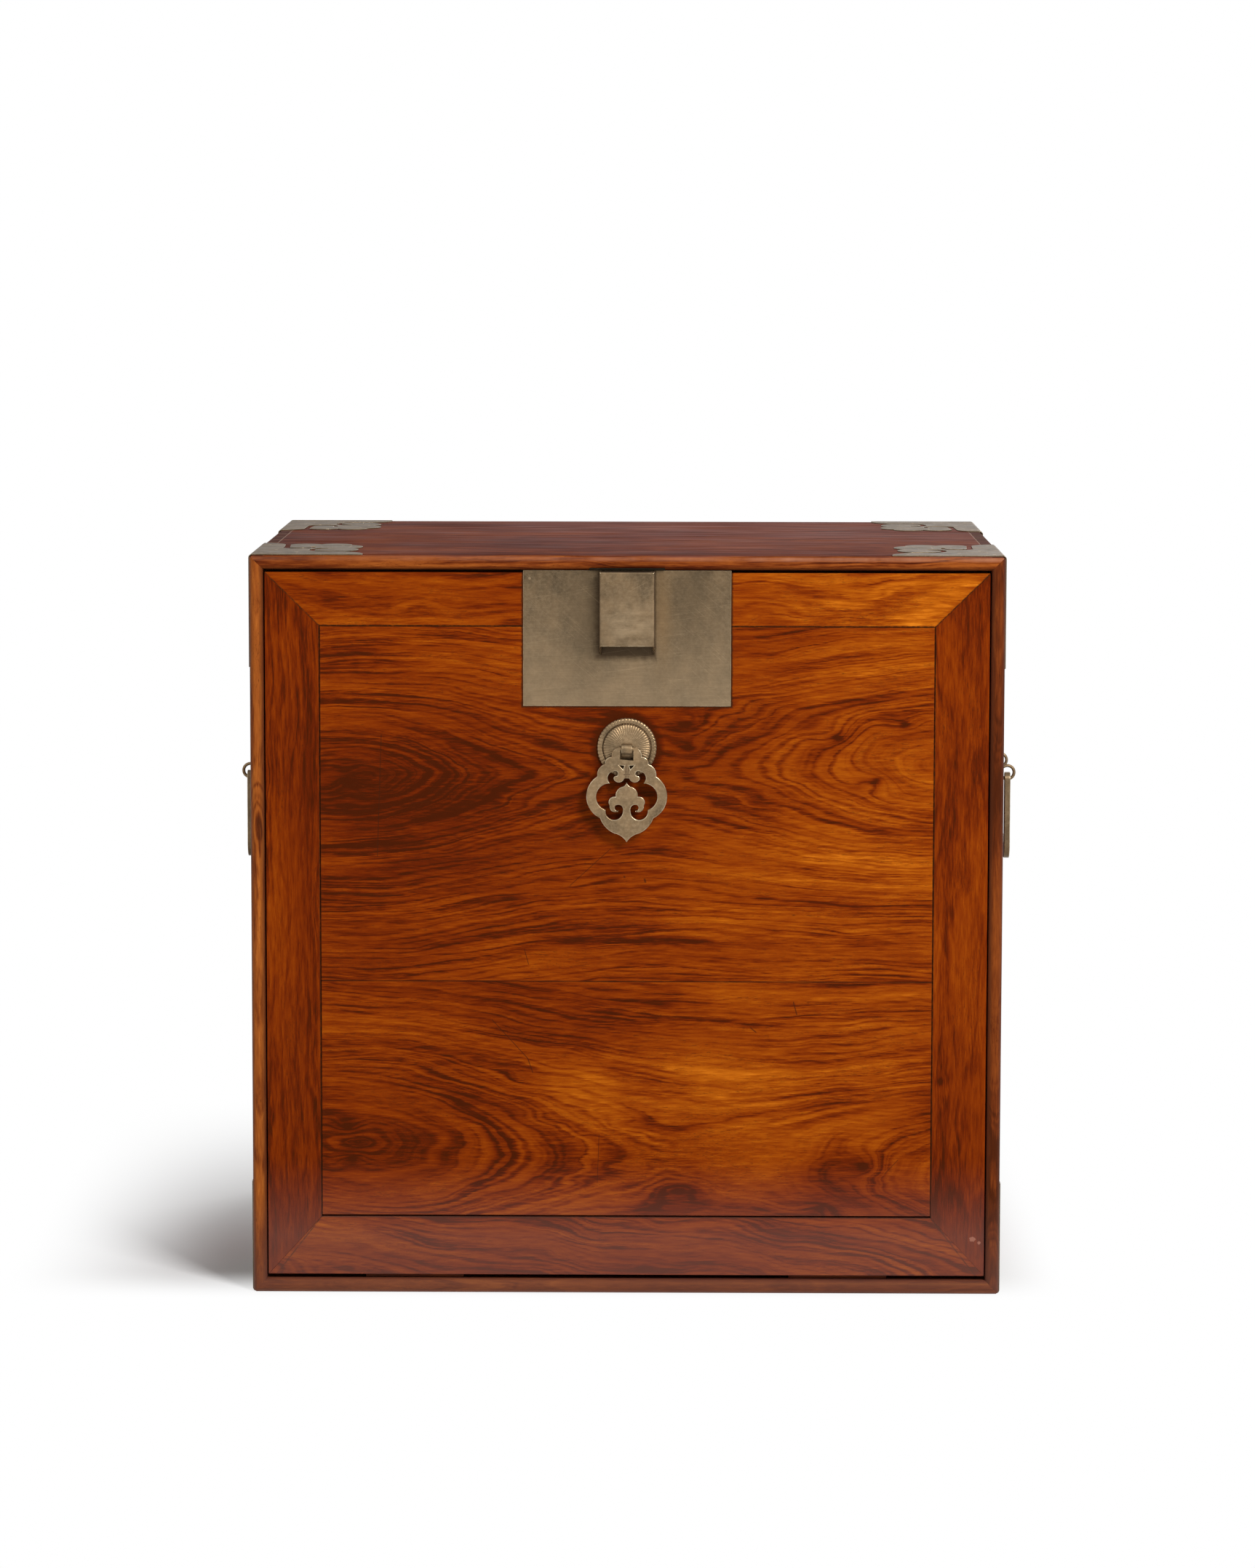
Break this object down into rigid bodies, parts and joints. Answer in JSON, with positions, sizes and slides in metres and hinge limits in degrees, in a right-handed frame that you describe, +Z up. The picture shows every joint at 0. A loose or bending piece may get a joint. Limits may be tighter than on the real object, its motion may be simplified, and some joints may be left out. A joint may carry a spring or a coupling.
{
  "type": "storage chest",
  "caption": "Square antique rosewood travelling chest with a lift-out front door, white-copper lock, pierced pendant pull, side bails and cloud-shaped corner mounts.",
  "frame": {"origin": "middle of the chest's underside", "axes": "+X to the right seen from the front, -Y out of the door, +Z up"},
  "size_m": [0.4714, 0.3387, 0.4366],
  "materials": {
    "door_rosewood": "glossy orange-brown polish",
    "case_rosewood": "polished, dusty on top",
    "inner_wood": "matte, unpolished",
    "white_copper": "satin, worn",
    "dark_iron": "dark, oiled"
  },
  "bodies": {
    "case": {"top_board": "case_rosewood", "bottom_board": "case_rosewood", "left_side_board": "case_rosewood", "right_side_board": "case_rosewood", "lower_back_board": "inner_wood", "upper_back_board": "inner_wood", "shelf": "inner_wood", "left_door_stop": "inner_wood", "right_door_stop": "inner_wood", "top_door_stop": "inner_wood", "top_front_left_mount": "white_copper", "top_front_right_mount": "white_copper", "top_rear_left_mount": "white_copper", "top_rear_right_mount": "white_copper", "bottom_front_left_mount": "white_copper", "bottom_front_right_mount": "white_copper", "bottom_rear_left_mount": "white_copper", "bottom_rear_right_mount": "white_copper", "strike_plate": "white_copper", "left_handle_eyes": "white_copper", "right_handle_eyes": "white_copper", "left_handle_plates": "white_copper", "right_handle_plates": "white_copper", "left_handle_washers": "white_copper", "right_handle_washers": "white_copper"},
    "door": {"left_stile": "door_rosewood", "right_stile": "door_rosewood", "top_rail": "door_rosewood", "bottom_rail": "door_rosewood", "upper_panel_board": "door_rosewood", "lower_panel_board": "door_rosewood", "left_batten": "inner_wood", "right_batten": "inner_wood", "lock_plate": "white_copper", "lock_housing": "white_copper", "pull_rosette": "white_copper", "pull_strap": "white_copper", "pull_washer": "white_copper"},
    "bolt": {"lock_bolt": "dark_iron", "finger_tab": "white_copper", "left_latch_spring": "dark_iron", "right_latch_spring": "dark_iron"},
    "pendant": {"pendant": "white_copper"},
    "left_bail": {"left_bail": "white_copper"},
    "right_bail": {"right_bail": "white_copper"}
  },
  "joints": [
    {"name": "door_tilt", "type": "hinge", "parent": "case", "child": "door", "pos_m": [0, -0.157, 0.008], "axis": [1, 0, 0], "range_deg": [0, 22]},
    {"name": "bolt_slide", "type": "slide", "parent": "door", "child": "bolt", "axis": [0, 0, 1], "range_m": [0, 0.0065]},
    {"name": "pendant_swing", "type": "hinge", "parent": "door", "child": "pendant", "pos_m": [0, -0.1705, 0.324], "axis": [-1, 0, 0], "range_deg": [-5, 165]},
    {"name": "left_bail_swing", "type": "hinge", "parent": "case", "child": "left_bail", "pos_m": [-0.2306, 0, 0.296], "axis": [0, 1, 0], "range_deg": [-8, 180]},
    {"name": "right_bail_swing", "type": "hinge", "parent": "case", "child": "right_bail", "pos_m": [0.2306, 0, 0.296], "axis": [0, -1, 0], "range_deg": [-8, 180]}
  ]
}
